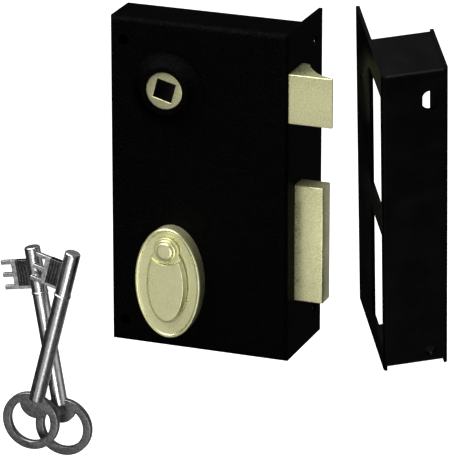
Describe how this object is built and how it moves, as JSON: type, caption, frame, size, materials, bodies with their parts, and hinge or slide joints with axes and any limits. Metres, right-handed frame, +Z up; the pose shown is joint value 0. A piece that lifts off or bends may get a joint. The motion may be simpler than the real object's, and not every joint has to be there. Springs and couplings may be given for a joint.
{
  "type": "rim night latch",
  "caption": "Upright black surface-mounted door lock with a sprung bevelled latch, a square deadbolt, an oval swivel-cover escutcheon, a box keeper and lever keys.",
  "frame": {"origin": "centre of the lock's door face, on the back plate", "axes": "+X the way the bolts are thrown, +Y into the door, +Z up the door"},
  "size_m": [0.2137, 0.0941, 0.2222],
  "materials": {
    "black_enamel": "semi-matte textured black enamel",
    "satin_black": "smooth satin black paint",
    "brass": "pale brushed brass",
    "steel": "zinc plated steel",
    "spring_steel": "dark spring steel",
    "key_steel": "polished grey steel"
  },
  "bodies": {
    "case": {"case_shell": "black_enamel", "back_plate": "black_enamel", "spacer_pillars": "steel", "back_plate_screws": "steel", "spring_anchor": "steel", "lever_pivot": "steel", "spring_stop_pin": "steel", "tail_guide_pin": "steel", "escutcheon": "brass", "escutcheon_rivets": "brass", "cover_pivot_rivet": "brass", "cover_washer": "brass"},
    "latch": {"latch_head": "brass", "latch_tail": "steel", "latch_rivets": "steel", "latch_spring": "spring_steel"},
    "follower": {"follower_hub": "brass", "follower_arm": "steel"},
    "deadbolt": {"deadbolt_head": "brass", "deadbolt_tail": "steel", "deadbolt_rivets": "steel", "bolt_stump": "steel"},
    "cover": {"swivel_cover": "brass"},
    "keeper_box": {"keeper": "satin_black"},
    "front_key": {"front_key_shank": "key_steel", "front_key_bit": "key_steel", "front_key_bow": "key_steel"},
    "rear_key": {"rear_key_shank": "key_steel", "rear_key_bit": "key_steel", "rear_key_bow": "key_steel"},
    "lever_pack_1": {"lever_1": "steel", "lever_spring_1": "spring_steel"},
    "lever_pack_2": {"lever_2": "steel", "lever_spring_2": "spring_steel"},
    "lever_pack_3": {"lever_3": "steel", "lever_spring_3": "spring_steel"},
    "lever_pack_4": {"lever_4": "steel", "lever_spring_4": "spring_steel"}
  },
  "joints": [
    {"name": "latch_slide", "type": "slide", "parent": "case", "child": "latch", "axis": [1, 0, 0], "range_m": [-0.0184, 0], "stiffness_N_per_m": 250, "springref_m": 0.012, "deforming": ["latch_spring"]},
    {"name": "follower_turn", "type": "hinge", "parent": "case", "child": "follower", "pos_m": [-0.0132, 0, 0.042], "axis": [0, 1, 0], "range_deg": [0, 55.01]},
    {"name": "deadbolt_slide", "type": "slide", "parent": "case", "child": "deadbolt", "axis": [1, 0, 0], "range_m": [-0.012, 0]},
    {"name": "cover_swing", "type": "hinge", "parent": "case", "child": "cover", "pos_m": [-0.0111, -0.0273, -0.025], "axis": [0, -1, 0], "range_deg": [-110, 110]},
    {"name": "keeper_lift_off", "type": "slide", "parent": "case", "child": "keeper_box", "axis": [1, 0, 0], "range_m": [0, 0.03]},
    {"name": "front_key_lift_off", "type": "slide", "parent": "case", "child": "front_key", "axis": [0, -1, 0], "range_m": [0, 0.03]},
    {"name": "rear_key_lift_off", "type": "slide", "parent": "case", "child": "rear_key", "axis": [0, 1, 0], "range_m": [0, 0.03]},
    {"name": "lever_1_lift", "type": "hinge", "parent": "case", "child": "lever_pack_1", "pos_m": [-0.031, -0.011, 0], "axis": [0, -1, 0], "range_deg": [0, 6.01], "deforming": ["lever_spring_1"]},
    {"name": "lever_2_lift", "type": "hinge", "parent": "case", "child": "lever_pack_2", "pos_m": [-0.031, -0.011, 0], "axis": [0, -1, 0], "range_deg": [0, 6.01], "deforming": ["lever_spring_2"]},
    {"name": "lever_3_lift", "type": "hinge", "parent": "case", "child": "lever_pack_3", "pos_m": [-0.031, -0.011, 0], "axis": [0, -1, 0], "range_deg": [0, 6.01], "deforming": ["lever_spring_3"]},
    {"name": "lever_4_lift", "type": "hinge", "parent": "case", "child": "lever_pack_4", "pos_m": [-0.031, -0.011, 0], "axis": [0, -1, 0], "range_deg": [0, 6.01], "deforming": ["lever_spring_4"]}
  ],
  "couplings": [
    {"joint": "follower_turn", "follows": "latch_slide", "rad_per_m": -52.17},
    {"joint": "lever_1_lift", "follows": "deadbolt_slide", "rad_per_m": -8.7266},
    {"joint": "lever_2_lift", "follows": "deadbolt_slide", "rad_per_m": -8.7266},
    {"joint": "lever_3_lift", "follows": "deadbolt_slide", "rad_per_m": -8.7266},
    {"joint": "lever_4_lift", "follows": "deadbolt_slide", "rad_per_m": -8.7266}
  ]
}
